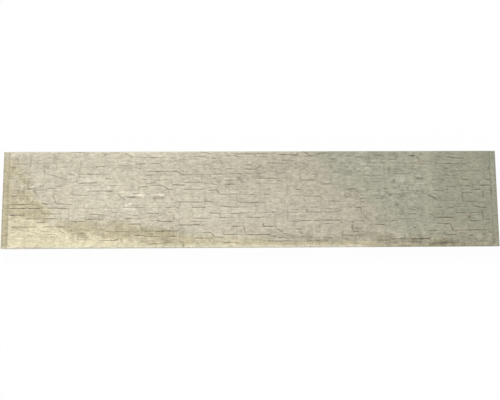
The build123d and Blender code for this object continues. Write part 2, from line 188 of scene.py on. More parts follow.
# Its deep joints, where an upper stone stands out over a lower one: dirt has gathered in them,
# and their dark colour is also painted shadow under the upper stone.
# Each is how deep it is, and the points along it, in millimetres from the lower left corner.
DEEP_JOINTS = [
    (2.2, (20, 148), (140, 148)), (1.7, (168, 149), (235, 148)),
    (0.5, (235, 148), (345, 148), (420, 147)), (1.9, (35, 163), (98, 163), (110, 168), (113, 178)),
    (2.8, (148, 166), (165, 163)), (1.2, (187, 205), (191, 180), (200, 165), (255, 163)),
    (0.8, (118, 212), (130, 195), (148, 170)), (1.4, (20, 193), (55, 193)),
    (1.4, (30, 124), (82, 125)), (0.8, (121, 113), (121, 146)), (1.4, (85, 110), (130, 110)),
    (1.2, (146, 147), (146, 129), (160, 127)), (1.2, (147, 127), (215, 128)),
    (1.7, (150, 110), (195, 111)), (1.4, (218, 100), (218, 120)),
    (1.2, (42, 80), (60, 79), (128, 80)), (1.7, (130, 96), (155, 96)), (1.2, (155, 80), (228, 80)),
    (0.8, (60, 70), (120, 60), (145, 52)), (1.7, (146, 65), (175, 62)), (1.7, (170, 52), (205, 50)),
    (1.2, (180, 43), (205, 43)), (1.7, (215, 65), (235, 55)), (0.8, (60, 5), (140, 5)),
    (0.4, (100, 25), (125, 42), (205, 45), (228, 15)), (1.9, (92, 224), (97, 220), (112, 221)),
    (1, (125, 215), (160, 216), (165, 222), (190, 222)), (1.4, (193, 230), (215, 230)),
    (0.8, (25, 258), (110, 258)), (0.6, (50, 240), (58, 255)),
    (1.2, (151, 290), (155, 277), (190, 270), (225, 257), (250, 256)), (1.4, (50, 313), (80, 313)),
    (1.4, (100, 304), (100, 326)), (1.4, (28, 301), (41, 300)), (0.4, (145, 315), (185, 315)),
    (0.2, (190, 319), (250, 319)), (0.8, (125, 327), (138, 327)), (1.2, (45, 336), (58, 325)),
    (0.8, (165, 337), (190, 337)), (0.2, (205, 353), (250, 353)), (2.1, (250, 356), (297, 356)),
    (1, (297, 356), (299, 340)),
    (0.5, (253, 300), (253, 325), (260, 334), (278, 334), (285, 325), (285, 300)),
    (1.6, (343, 303), (372, 304)), (1.4, (370, 350), (390, 350)), (1.4, (395, 354), (428, 354)),
    (1.4, (448, 352), (465, 345), (480, 340)), (0.8, (405, 334), (435, 334)),
    (1, (420, 315), (420, 328)), (0.8, (428, 308), (480, 304)), (1.9, (240, 277), (262, 271)),
    (1, (275, 275), (330, 274), (362, 275)), (0.8, (230, 256), (250, 256)),
    (1.4, (273, 245), (273, 258)), (1.7, (282, 241), (320, 241), (345, 242)),
    (1.4, (380, 259), (403, 255)), (2.8, (405, 233), (420, 233)),
    (1.7, (320, 212), (360, 212), (406, 211)), (0.8, (262, 196), (310, 196)),
    (1.6, (425, 198), (452, 180)), (1.4, (465, 190), (480, 185)), (2.2, (445, 151), (480, 151)),
    (1.2, (325, 126), (355, 125), (378, 121)), (1.4, (430, 122), (455, 110), (480, 110)),
    (0.4, (465, 121), (480, 121)), (1.2, (404, 132), (415, 132)),
    (1, (245, 110), (247, 100), (307, 100), (315, 107), (365, 106)), (1.2, (385, 62), (405, 62)),
    (1.2, (420, 62), (465, 62)), (1.2, (258, 55), (300, 55)), (0.8, (283, 38), (284, 33), (330, 33)),
    (1.4, (357, 33), (362, 30), (420, 30), (427, 33)), (1.9, (465, 88), (508, 89)),
    (1.9, (470, 339), (500, 339)), (1.4, (500, 337), (530, 336)), (1.3, (530, 336), (570, 336)),
    (0.8, (570, 336), (600, 334)), (1.4, (490, 312), (528, 312)),
    (1.9, (540, 315), (580, 313), (585, 308), (590, 298), (597, 297)),
    (1.5, (535, 284), (600, 283), (640, 285), (665, 273)), (1, (650, 272), (708, 272)),
    (1.9, (490, 298), (507, 293)), (2.5, (527, 270), (545, 270)), (1.2, (505, 255), (530, 255)),
    (1.4, (475, 256), (492, 252)), (1.4, (565, 252), (580, 252)), (0.8, (595, 252), (605, 252)),
    (1.9, (530, 240), (550, 240)), (1.4, (545, 232), (585, 232), (610, 218), (630, 216)),
    (1.4, (500, 226), (530, 229)), (1.7, (625, 233), (668, 232)), (1.3, (673, 242), (740, 242)),
    (1, (670, 217), (740, 217)), (1.5, (480, 202), (505, 202)),
    (1, (455, 191), (480, 186), (500, 184), (512, 189)), (1.4, (650, 171), (710, 168)),
    (0.8, (460, 158), (500, 158)), (1.2, (460, 151), (520, 150)),
    (1.4, (603, 150), (625, 150), (632, 152), (632, 158)), (1.4, (640, 149), (650, 149)),
    (1.8, (533, 128), (575, 128)), (0.6, (613, 131), (630, 131), (631, 122), (631, 100)),
    (1.6, (575, 98), (630, 98)), (1.5, (550, 102), (575, 102)), (3.1, (480, 120), (500, 120)),
    (0.6, (460, 109), (522, 109)), (1.2, (508, 88), (513, 60)),
    (1.9, (650, 85), (690, 84), (725, 86)), (1.2, (525, 63), (580, 62), (650, 63)),
    (1.4, (487, 47), (520, 47)), (1.4, (520, 45), (595, 41)), (1.3, (545, 52), (560, 52)),
    (2.2, (620, 44), (635, 44)), (0.8, (600, 20), (615, 20)), (2.2, (540, 16), (595, 16)),
    (1.2, (660, 20), (668, 8)), (2.5, (733, 357), (770, 349)), (1.4, (710, 341), (745, 341)),
    (1.7, (770, 335), (797, 331), (812, 315)), (0.4, (815, 343), (835, 343)),
    (1.9, (855, 345), (870, 339)), (1.6, (860, 349), (978, 350)), (1.7, (895, 308), (918, 309)),
    (1.4, (895, 292), (935, 292), (950, 303)), (1.9, (775, 293), (800, 293)),
    (1.7, (820, 293), (840, 293)), (1.2, (775, 273), (820, 273)),
    (1.4, (832, 280), (845, 275), (925, 275)), (0.8, (835, 262), (880, 262)),
    (1.8, (820, 250), (875, 250)), (0.8, (768, 256), (780, 256)),
    (1, (690, 242), (735, 242), (760, 236)), (1.4, (770, 238), (790, 232)),
    (1.4, (760, 213), (790, 213), (803, 199), (925, 197)), (1.4, (835, 215), (870, 215)),
    (0.6, (725, 180), (725, 195)), (1.7, (690, 169), (735, 169)), (1.9, (747, 172), (768, 172)),
    (1.9, (770, 168), (795, 165)), (1.7, (780, 160), (838, 151), (870, 149)),
    (0.6, (870, 167), (905, 167)), (1.9, (905, 167), (935, 166)), (0.6, (935, 167), (968, 167)),
    (1.9, (700, 150), (745, 150)), (1.3, (760, 130), (805, 126)), (1.2, (845, 126), (910, 130)),
    (1.2, (703, 109), (765, 109)), (1.4, (802, 112), (850, 112)), (1.7, (905, 112), (960, 113)),
    (0.8, (705, 97), (745, 97)), (0.8, (725, 82), (745, 82)),
    (1.3, (845, 79), (888, 79), (892, 72), (895, 50)), (1.9, (895, 48), (985, 48)),
    (1.7, (740, 56), (765, 56), (773, 50), (780, 41), (815, 39)), (1.4, (817, 48), (860, 48)),
    (1.7, (710, 36), (740, 36)), (1.7, (812, 22), (825, 18), (870, 18)),
    (1.7, (945, 338), (970, 338)), (1.4, (980, 318), (1000, 313), (1030, 313)),
    (1.6, (1025, 347), (1060, 346), (1090, 345)), (2.5, (1115, 358), (1140, 343)),
    (2.2, (1115, 341), (1150, 341)), (1.4, (1020, 325), (1045, 325)), (1.4, (1045, 324), (1080, 324)),
    (0.8, (1083, 292), (1083, 325)), (1.2, (1095, 315), (1115, 315)), (1.3, (950, 257), (1010, 257)),
    (1, (980, 249), (1000, 249)), (2.2, (1018, 249), (1032, 249)),
    (1.9, (1102, 262), (1102, 251), (1155, 250)), (1.8, (1140, 271), (1165, 271)),
    (0.6, (935, 238), (975, 238)), (1.2, (1100, 245), (1115, 228)), (2.2, (1085, 215), (1100, 215)),
    (1, (1052, 200), (1052, 235)), (0.6, (1000, 208), (1025, 208)), (1.4, (965, 197), (985, 197)),
    (0.6, (1070, 193), (1110, 193)), (1.9, (1115, 189), (1170, 189)), (1.2, (1105, 185), (1120, 172)),
    (1.4, (990, 170), (990, 185)), (0.6, (1025, 170), (1032, 163)), (0.8, (1105, 149), (1125, 149)),
    (0.8, (1140, 149), (1170, 149)), (0.8, (1060, 140), (1090, 140)),
    (1.9, (1122, 140), (1123, 130), (1165, 130)), (0.6, (965, 131), (975, 131)),
    (1.7, (985, 131), (1005, 131)), (1.4, (1052, 135), (1052, 105)), (1.2, (1070, 128), (1085, 128)),
    (1.8, (1103, 99), (1135, 99)), (1.7, (1150, 99), (1170, 99)), (0.4, (1040, 96), (1095, 96)),
    (2.1, (962, 88), (963, 79), (1000, 78)), (2.2, (1015, 68), (1030, 60), (1034, 52), (1050, 50)),
    (1.7, (1080, 69), (1100, 66)), (1.8, (1095, 57), (1108, 50)), (0.2, (1050, 43), (1080, 43)),
    (1.3, (985, 41), (1045, 37)), (1.5, (960, 24), (1200, 24)), (1.2, (1170, 352), (1190, 352)),
    (1.2, (1210, 329), (1235, 329)), (1.4, (1275, 340), (1295, 340)), (0.8, (1310, 337), (1330, 337)),
    (1.2, (1255, 313), (1275, 313)), (1.2, (1270, 302), (1280, 295)), (1, (1308, 285), (1308, 298)),
    (1.4, (1316, 283), (1327, 283)), (1.7, (1340, 283), (1350, 283)), (1.2, (1335, 301), (1400, 301)),
    (1.6, (1232, 279), (1250, 279)), (0.8, (1340, 267), (1400, 267)), (2.4, (1185, 235), (1210, 235)),
    (0.2, (1365, 243), (1385, 243)), (1, (1250, 205), (1290, 217), (1310, 215), (1330, 190)),
    (1, (1268, 207), (1267, 190), (1295, 182)), (1.7, (1350, 214), (1362, 214)),
    (1.2, (1325, 180), (1345, 180)), (1.2, (1325, 168), (1335, 168)),
    (1, (1175, 185), (1193, 171), (1248, 170)), (0.4, (1260, 148), (1290, 148)),
    (2.5, (1303, 148), (1322, 147), (1327, 125)), (0.2, (1180, 143), (1245, 143)),
    (1.7, (1195, 131), (1240, 131)), (1.2, (1240, 136), (1255, 136)), (1.7, (1340, 113), (1357, 97)),
    (2.1, (1190, 100), (1245, 100), (1255, 90)), (2.1, (1282, 94), (1298, 94)),
    (1.6, (1303, 97), (1335, 97)), (1.2, (1185, 87), (1215, 87)), (1.9, (1380, 83), (1413, 83)),
    (1.7, (1292, 83), (1292, 70), (1297, 62), (1298, 57), (1315, 58)),
    (1.9, (1256, 62), (1255, 45), (1290, 44)), (2.5, (1205, 35), (1215, 35)),
    (1.3, (1170, 5), (1170, 85)), (0.8, (1150, 22), (1190, 22)), (1.8, (1400, 344), (1410, 344)),
    (1.3, (1440, 328), (1460, 328)), (1.5, (1510, 343), (1532, 340)), (2.5, (1540, 335), (1550, 328)),
    (0.8, (1400, 317), (1500, 313), (1600, 309)), (0.8, (1580, 320), (1600, 320)),
    (0.8, (1415, 290), (1460, 290)), (1, (1515, 290), (1535, 290)), (1, (1458, 272), (1510, 272)),
    (0.8, (1530, 262), (1538, 256), (1560, 256)), (1.2, (1595, 251), (1630, 251)),
    (1.7, (1410, 216), (1432, 216)), (1.2, (1475, 210), (1490, 210)), (0.8, (1505, 210), (1505, 225)),
    (1.2, (1535, 207), (1550, 207)), (1, (1600, 212), (1620, 209)),
    (1.9, (1575, 192), (1588, 190), (1610, 175)), (0.6, (1415, 195), (1475, 195)),
    (1.2, (1395, 182), (1410, 178)), (1.2, (1605, 147), (1625, 147)), (1.7, (1505, 142), (1535, 135)),
    (1.2, (1500, 123), (1530, 120)), (1.9, (1587, 120), (1605, 109), (1668, 108)),
    (1.7, (1440, 98), (1460, 98)), (0.4, (1460, 105), (1500, 105)),
    (0.8, (1380, 82), (1380, 52), (1414, 52), (1414, 82)), (2.8, (1515, 80), (1525, 70)),
    (1.2, (1575, 61), (1620, 61)), (1.9, (1390, 26), (1430, 26)), (1.7, (1438, 30), (1475, 30)),
    (1.9, (1510, 30), (1580, 30)), (0.6, (1610, 339), (1630, 337)), (2.2, (1655, 335), (1715, 331)),
    (1.2, (1610, 311), (1660, 311)), (0.6, (1660, 311), (1725, 310), (1732, 304), (1740, 292)),
    (1.7, (1645, 295), (1655, 290)), (0.6, (1665, 284), (1740, 284), (1805, 285)),
    (1.4, (1650, 266), (1690, 266)), (1.9, (1703, 260), (1710, 251), (1730, 248)),
    (1.9, (1628, 252), (1640, 247)), (3.1, (1800, 251), (1820, 250)), (2.1, (1775, 228), (1820, 228)),
    (1.2, (1650, 223), (1675, 223)), (1.4, (1700, 228), (1730, 228), (1750, 220)),
    (1.7, (1755, 213), (1775, 213)), (1.2, (1645, 213), (1655, 213)),
    (1.3, (1742, 202), (1708, 202), (1706, 190), (1708, 170), (1745, 168), (1790, 162)),
    (1, (1783, 205), (1789, 185)), (0.8, (1610, 171), (1690, 171)),
    (2.5, (1755, 150), (1775, 146), (1795, 145)), (1.2, (1650, 145), (1670, 145)),
    (0.6, (1680, 149), (1720, 149)), (1.9, (1682, 142), (1684, 127), (1718, 126)),
    (1.4, (1730, 126), (1778, 126), (1780, 120), (1780, 100)), (1.9, (1727, 95), (1772, 94)),
    (1.3, (1790, 102), (1805, 102)), (1.9, (1610, 88), (1655, 85), (1660, 78), (1667, 62)),
    (1.4, (1667, 60), (1790, 61), (1803, 52), (1820, 51)), (1.7, (1645, 44), (1675, 44)),
    (1.2, (1690, 51), (1710, 48)), (1.7, (1725, 40), (1740, 40)), (0.2, (1750, 10), (1750, 50)),
]
CUT_WIDTH = 0.0013           # of a level joint
STEEP_WIDTH = 0.0024         # of an upright one, where the mesh is coarser
STEEP_LOSS = 0.25            # of the depth, in an upright joint
HIGHLIGHT_PLACE = 0.0050          # of the painted highlights along a joint, from its middle
HIGHLIGHT_WIDTH = 0.0020
LIP_WIDTH = 0.0008           # of the turn from the lower stone to the upper one
LIP_REACH = 0.006            # how far from a joint the two stones bend apart
LIP_HEIGHT = 0.00014         # of that bend, for a joint of depth 1
CUT_DEPTH = 0.00035          # of the joint itself, for a joint of depth 1
CUT_END = 0.0015             # a joint runs out over this length past its ends
LIP_END = 0.002              # and the bend stops this far past them

joint_cut = np.zeros(x_grid.shape)
joint_highlight = np.zeros(x_grid.shape)
joint_lip = np.zeros(x_grid.shape)
for depth, *points in DEEP_JOINTS:
    points = np.array(points) * MM - (HALF_LENGTH, HALF_HEIGHT)
    for start, end in zip(points[:-1], points[1:]):
        if end[0] < start[0]:
            start, end = end, start
        reach = 4 * LIP_REACH
        window = window_over(np.minimum(start, end) - reach, np.maximum(start, end) + reach)
        x = x_grid[window] + waver_x[window] - start[0]
        y = y_grid[window] + waver_y[window] - start[1]
        length = np.linalg.norm(end - start)
        run, climb = (end - start) / length
        along = run * x + climb * y
        above = run * y - climb * x
        past_end = np.maximum(np.maximum(-along, along - length), 0)
        fade = depth * (1 - STEEP_LOSS * climb ** 2) * np.exp(-(past_end / CUT_END) ** 2)
        width = CUT_WIDTH + (STEEP_WIDTH - CUT_WIDTH) * climb ** 2
        joint_cut[window] = np.maximum(joint_cut[window], fade * np.exp(-(above / width) ** 2))
        # Pale bands on both sides of the joint: painted highlight, as on lit stone edges.
        edge = fade * np.exp(-((abs(above) - HIGHLIGHT_PLACE) / HIGHLIGHT_WIDTH) ** 2)
        joint_highlight[window] = np.maximum(joint_highlight[window], edge)
        lip = np.tanh(above / LIP_WIDTH) * np.exp(-abs(above) / LIP_REACH) * run
        joint_lip[window] += np.where(past_end > LIP_END, 0, fade * lip)

worn = 1 + 0.5 * noise(0.013, 0.013, 11)
height += (LIP_HEIGHT * joint_lip - CUT_DEPTH * joint_cut) * worn * in_field

# Its split faces: streaks along the panel, and a rough grain. Nothing stands over the packed
# casting, and the two long edges keep their arris and their plain strip.
STREAK_HEIGHT = 0.00022
GRAIN_HEIGHT = 0.00010
height += STREAK_HEIGHT * noise(0.034, 0.009, 5, 3)
height += GRAIN_HEIGHT * noise(0.007, 0.004, 6)
height = np.minimum(height, high.z)
height[:, 0] = np.minimum(height[:, 0], BED - ARRIS)
height[:, -1] = np.minimum(height[:, -1], BED - ARRIS)
height[:, 1] = np.minimum(height[:, 1], BED)
height[:, -2] = np.minimum(height[:, -2], BED)
height[0] = np.minimum(height[0], END_LEVELS[0])
height[-1] = np.minimum(height[-1], END_LEVELS[0])


def blurred(values, radius):
    """The mean over a square of that many cells each way, by running sums along both ways."""
    count = 2 * radius + 1
    for way in range(2):
        padded = np.pad(values, [(radius + 1, radius), (0, 0)], mode="edge")
        sums = np.cumsum(padded, axis=0)
        values = ((sums[count:] - sums[:-count]) / count).T
    return values


# Its weathering. Rain has splashed soil up from the ground, pale near the lower edge and brown
# along the tide line above it. The left end is stained ochre, and the right is green with damp.
# Places are in millimetres from the lower left corner. Each line here is a row of places along
# or up the panel, and how far up or along the line, or how wide it, is at each.
SPLASH_LINE = ((0, 60, 130, 200, 245, 300, 345, 370, 430, 520, 600, 700, 1000, 1300, 1350, 1450),
               (122, 119, 100, 80, 66, 58, 52, 42, 36, 26, 18, 14, 14, 4, -8, -20))
TIDE_WIDTH = ((0, 60, 200, 260, 350, 430, 520, 600, 700, 1000, 1380, 1560, 1700),
              (32, 34, 46, 44, 56, 74, 62, 60, 36, 16, 28, 32, 34))
GREEN_LINE = ((0, 50, 110, 170, 230, 290, 345), (1510, 1480, 1440, 1345, 1262, 1215, 1180))
LEFT_LINE = ((100, 150, 200, 350), (250, 180, 135, 105))
GREEN_LINE_FADE = 130        # how wide the green's edge is
LEFT_LINE_FADE = 55          # and the edge of the ochre stain

# Where each shade sets in, and over what length it then grows to full. A negative length runs
# back from there.
GREYER = (420, 910)          # the whole panel, from left to right
GREENER = (1575, 60)         # the right end
LEFT_STAIN_TOP = (352, -40)  # the ochre stain of the left end fades out again near its top
LEFT_RIM = (25, -3)          # the plain rim and groove at the left end, stained ochre,
LEFT_RIM_TOP = (290, 40)     # and less so towards their top
BROWN_END = (2200, -1000)    # the tide line's brown, weaker to the right
SPLASH_TOP = (4.5, -9)       # the pale splashes end about the splash line,
SPLASH_START = (23, 4)       # begin beside the left rim
SPLASH_LOSS = (350, 150)     # and grow weaker from here on
LOWER_EDGE_HIGHLIGHT = (10, -4)         # the lower edge and its side face, paler as a painted highlight
LOWER_EDGE_HIGHLIGHT_END = (1380, -60)
SOILED_EDGE = (16, -8)       # and soiled instead towards the right end
SOILED_EDGE_START = (1390, 60)
LEFT_BEVEL_SHADE = (10, -3)          # the bevel at the left end, darkened as painted shade
GROOVE_PLACE = 18            # of the dirt and painted shade in the groove beside the left rim
GROOVE_REACH = 4
STRAY = (34, 7)              # how far the edges of these shades stray, along and across
PATCH_STRAY = (24, 10)       # and those of the patches
FIRM = 0.1                   # the share of that stray which small patches have

# Patches: the middle of each, its reach along and across, and its strength.
DAMP = (                     # darker with water
    (850, 250, 90, 25, 0.5), (935, 288, 25, 18, 0.6), (1080, 300, 170, 35, 0.3),
    (725, 270, 50, 22, 0.5), (470, 285, 26, 14, 0.6), (580, 268, 26, 10, 0.5),
    (545, 238, 12, 10, 0.6), (650, 275, 160, 50, 0.2), (850, 320, 250, 30, 0.1),
    (180, 320, 160, 40, 0.3), (150, 210, 40, 30, 0.3), (215, 245, 24, 14, 0.4),
    (105, 300, 20, 24, 0.4), (175, 300, 30, 14, 0.3), (300, 345, 10, 14, 0.6),
    (535, 122, 30, 12, 0.6), (435, 108, 16, 12, 0.6), (375, 100, 26, 14, 0.5),
    (600, 80, 60, 14, 0.5), (605, 195, 40, 10, 0.3), (905, 165, 26, 14, 0.5),
    (900, 175, 40, 10, 0.3), (930, 118, 26, 12, 0.4), (1050, 120, 44, 14, 0.4),
    (1030, 272, 14, 10, 0.5), (1270, 208, 24, 16, 0.5), (1330, 195, 34, 12, 0.5),
    (1340, 130, 60, 40, 0.3), (1310, 70, 44, 14, 0.6), (1455, 140, 20, 12, 0.6),
    (1400, 100, 40, 30, 0.3), (1470, 275, 22, 16, 0.6), (1280, 265, 20, 10, 0.5),
    (1455, 190, 20, 12, 0.4), (100, 88, 26, 12, 0.6), (240, 52, 26, 10, 0.5), (70, 80, 16, 8, 0.4),
    (1480, 345, 20, 10, 0.5), (1380, 345, 14, 10, 0.5), (1640, 265, 14, 10, 0.5),
    (1590, 290, 18, 10, 0.4), (300, 280, 60, 14, 0.2), (1320, 345, 90, 12, 0.15),
    (1400, 335, 50, 22, 0.2), (1815, 330, 30, 30, 0.15), (1400, 345, 380, 24, 0.1),
)
SOIL = (                     # splashed up by rain
    (290, 56, 34, 12, 0.6), (640, 45, 100, 16, 0.2), (450, 75, 70, 22, 0.15),
    (500, 60, 60, 10, 0.15), (590, 62, 60, 12, 0.2), (1100, 30, 150, 10, 0.35),
    (1250, 34, 160, 12, 0.4), (1345, 42, 40, 10, 0.4), (1480, 24, 110, 12, 0.55),
    (1620, 14, 80, 8, 0.5), (1700, 40, 140, 40, 0.05), (1410, 30, 60, 8, 0.4),
    (1400, 12, 46, 12, 0.45), (600, 24, 44, 14, 0.35), (1810, 12, 40, 14, 0.3),
    (1456, 12, 12, 9, 0.5), (1510, 14, 18, 8, 0.4), (1622, 12, 26, 12, 0.5), (1682, 8, 14, 8, 0.5),
    (1740, 26, 14, 6, 0.3), (1818, 40, 10, 12, 0.3),
)
BLOOM = (                    # pale lime, drawn out of the cement
    (325, 225, 70, 40, 0.2), (950, 130, 280, 60, 0.15), (1465, 248, 45, 24, 0.25),
    (70, 235, 28, 26, 0.4), (55, 340, 24, 10, 0.4), (160, 215, 50, 14, 0.35),
    (180, 104, 34, 9, 0.5), (325, 340, 24, 10, 0.35), (480, 150, 50, 30, 0.3),
    (550, 345, 60, 10, 0.2), (800, 335, 60, 14, 0.25), (720, 320, 30, 10, 0.2),
    (850, 248, 40, 6, 0.3), (870, 130, 60, 14, 0.2), (1330, 300, 60, 20, 0.25),
    (1260, 335, 50, 14, 0.2), (1665, 70, 40, 20, 0.2),
)
WASHED = (                   # a little paler, rinsed by rain
    (210, 14, 90, 14, 0.17), (340, 18, 90, 16, 0.14), (910, 22, 120, 16, 0.12),
    (440, 24, 40, 16, 0.1), (1385, 45, 24, 12, 0.12), (1710, 34, 24, 6, 0.15),
    (560, 32, 560, 26, 0.11), (1480, 34, 380, 22, 0.12),
)
CHIPS = (                    # chips and upright dribbles, the palest places
    (312, 157, 4, 8, 0.9), (395, 223, 6, 4, 0.9), (382, 242, 4, 3, 0.9), (380, 147, 4, 3, 0.7),
    (470, 162, 5, 5, 1), (455, 156, 5, 4, 0.9), (560, 161, 4, 3, 0.7), (788, 192, 5, 4, 1),
    (911, 317, 3, 5, 0.9), (1095, 223, 4, 3, 0.6), (1490, 216, 4, 5, 0.7), (1510, 215, 4, 5, 0.9),
    (480, 206, 36, 3, 0.35), (495, 197, 26, 3, 0.7), (590, 194, 12, 3, 0.5), (440, 207, 8, 4, 0.4),
    (583, 199, 14, 4, 0.6), (650, 35, 3, 28, 0.5), (1148, 55, 3, 40, 0.5), (1171, 40, 3, 36, 0.55),
    (1088, 22, 3, 16, 0.5), (845, 247, 26, 3, 0.2), (300, 170, 3, 3, 0.5), (625, 150, 4, 3, 0.7),
    (1455, 140, 4, 3, 0.3), (775, 232, 12, 3, 0.4), (1390, 322, 14, 4, 0.6), (1500, 228, 4, 4, 0.4),
    (1605, 30, 4, 3, 0.8), (1630, 38, 5, 3, 0.8), (1575, 22, 6, 3, 0.4), (1520, 34, 5, 4, 1),
    (1560, 225, 5, 4, 0.6), (1665, 22, 10, 5, 0.3), (1780, 34, 16, 5, 0.2), (1556, 234, 18, 4, 0.4),
    (1580, 227, 12, 4, 0.35), (1592, 269, 12, 4, 0.3), (1496, 206, 8, 4, 0.4),
)
HOLES = (                    # pores and pits full of dirt
    (563, 182, 8, 6, 0.6), (590, 184, 5, 5, 0.5), (55, 247, 6, 7, 0.2), (35, 300, 6, 4, 0.3),
    (1526, 341, 8, 4, 0.9), (1437, 192, 5, 4, 0.7), (1459, 157, 6, 5, 0.8), (1440, 243, 5, 4, 0.7),
    (1540, 257, 5, 4, 0.3), (1812, 293, 4, 4, 1), (1731, 110, 5, 5, 0.9), (1625, 16, 16, 5, 0.7),
    (1450, 247, 4, 7, 0.8), (722, 187, 4, 6, 0.3), (118, 210, 5, 6, 0.4), (120, 220, 4, 4, 0.3),
    (1160, 30, 3, 30, 0.1), (667, 12, 4, 10, 0.5), (478, 188, 22, 4, 0.6), (578, 187, 12, 4, 0.5),
    (1520, 20, 30, 5, 0.5), (1645, 14, 40, 4, 0.6), (590, 70, 4, 4, 0.2), (255, 65, 6, 5, 0.2),
    (1818, 205, 3, 10, 0.5), (1820, 34, 3, 24, 0.2), (1660, 36, 5, 4, 0.4), (1612, 46, 8, 4, 0.3),
    (1690, 44, 5, 4, 0.3), (1590, 10, 8, 5, 0.7), (1526, 201, 28, 3, 0.35), (1550, 251, 12, 4, 0.3),
)
SPECKLE = (                  # rough and spotted
    (1650, 30, 190, 35, 1), (1500, 20, 120, 16, 0.8), (560, 40, 180, 40, 0.6),
    (370, 95, 60, 24, 0.4), (300, 40, 60, 30, 0.4), (1150, 30, 200, 25, 0.5),
    (1500, 215, 90, 24, 1), (1440, 190, 40, 30, 0.6), (480, 200, 44, 14, 0.8),
    (575, 190, 30, 14, 0.9), (860, 240, 60, 24, 0.7), (60, 220, 50, 120, 0.5),
    (130, 60, 130, 60, 0.1), (1380, 320, 100, 30, 0.5),
)
RUST = (                     # from iron in the gravel
    (1547, 320, 14, 8, 0.3), (665, 296, 8, 5, 0.3), (622, 182, 6, 5, 0.3), (740, 268, 8, 7, 0.2),
    (1585, 128, 30, 10, 0.12), (1650, 95, 30, 14, 0.12), (1700, 50, 120, 30, 0.12),
    (1730, 112, 20, 10, 0.15), (860, 75, 120, 20, 0.1), (620, 100, 90, 20, 0.1),
    (180, 190, 70, 40, 0.1),
)


def past(values, start, length):
    """A soft step from 0 at the start to 1 that length past it."""
    return ease((values - start) / length)


def patches(places, seed, raggedness=1.0):
    """How covered each point is: a bell e^-(r^2) over each patch's reach, with a ragged edge. Where
    patches overlap, the bare shares that they leave are multiplied.
    """
    bare = np.ones(x_grid.shape)
    x = x_mm + PATCH_STRAY[0] * raggedness * noise(0.09, 0.05, seed, 4)
    y = y_mm + PATCH_STRAY[1] * raggedness * noise(0.07, 0.04, seed + 1, 4)
    for middle_x, middle_y, reach_x, reach_y, strength in places:
        far = ((x - middle_x) / reach_x) ** 2 + ((y - middle_y) / reach_y) ** 2
        bare *= 1 - strength * np.exp(-far)
    return 1 - bare


x_mm = from_left / MM
y_mm = from_bottom / MM
ragged_x = STRAY[0] * noise(0.12, 0.05, 31, 5)
ragged_y = STRAY[1] * noise(0.05, 0.03, 33, 4)
above_splash = y_mm - np.interp(x_mm, *SPLASH_LINE) - ragged_y
above_tide = above_splash / np.interp(x_mm, *TIDE_WIDTH)
from_green = x_mm + ragged_x - np.interp(y_mm, *GREEN_LINE)
from_stain = x_mm - 0.6 * ragged_x - np.interp(y_mm, *LEFT_LINE)

left_stain = past(from_stain, 0, -LEFT_LINE_FADE) * past(y_mm, *LEFT_STAIN_TOP)
brown = ease(1.6 - 1.3 * above_tide) * past(x_mm, *BROWN_END)
rim_stain = past(x_mm, *LEFT_RIM) * (0.9 - 0.5 * past(y_mm, *LEFT_RIM_TOP))
# Paler along the lower edge and down its side face: painted highlight.
lower_edge_highlight = 0.6 * past(y_mm, *LOWER_EDGE_HIGHLIGHT) * past(x_mm, *LOWER_EDGE_HIGHLIGHT_END)
soiled_edge = 0.3 * past(y_mm, *SOILED_EDGE) * past(x_mm, *SOILED_EDGE_START)
splashed = past(above_splash, *SPLASH_TOP) * past(x_mm, *SPLASH_START)
# Dirt and painted shade in the groove beside the left rim.
groove_shade = 0.12 * ease(1 - abs(x_mm - GROOVE_PLACE) / GROOVE_REACH)

shade = {}
shade["grey"] = past(x_mm, *GREYER)
shade["green"] = ease(from_green / GREEN_LINE_FADE + 0.5)
shade["deep"] = past(x_mm + 0.4 * ragged_x, *GREENER)
shade["ochre"] = np.maximum(left_stain, brown) * (0.85 + 0.25 * noise(0.045, 0.018, 61, 4))
shade["ochre"] = np.clip(np.maximum(shade["ochre"], rim_stain), 0, 1)
shade["pale"] = splashed * (1 - 0.35 * past(x_mm, *SPLASH_LOSS))
# Damp patches, and painted shade on the left end's bevel.
shade["damp_and_bevel_shade"] = patches(DAMP, 41) + 0.2 * past(x_mm, *LEFT_BEVEL_SHADE)
shade["soil"] = np.maximum(patches(SOIL, 43), soiled_edge)
# Pale lime bloom, and the painted highlight along the lower edge.
shade["bloom_and_highlight"] = np.maximum(patches(BLOOM, 45), lower_edge_highlight)
shade["chip"] = patches(WASHED + CHIPS, 47, FIRM)
# Dirt in pores and pits, and the left groove's dirt and painted shade.
shade["hole_and_groove_shade"] = np.maximum(patches(HOLES, 49, FIRM), groove_shade)
shade["speckle"] = patches(SPECKLE, 51)
shade["rust"] = patches(RUST, 53, FIRM)

# Dirt and painted shade lie in its hollows and joints, and each stone has a tone of its own.
HOLLOW_DEPTH = 0.0010        # of a hollow that is fully darkened with painted shade
# Hollows darken by how far they lie below their surroundings: painted shade.
hollow_shade = np.clip((blurred(height, 2) - height) / HOLLOW_DEPTH, 0, 1) * (0.4 + 0.6 * in_field)
# Dirt in the deep joints, and painted shadow under their upper stones.
joint_dirt_and_shade = (0.31 + 0.18 * shade["green"]) * joint_cut * worn * in_field
shade["crevice_dirt_and_shade"] = np.clip(0.38 * hollow_shade + joint_dirt_and_shade, 0, 1)
# Painted highlights beside the deep joints.
shade["edge"] = joint_highlight * worn * in_field
shade["tone"] = stone_tone

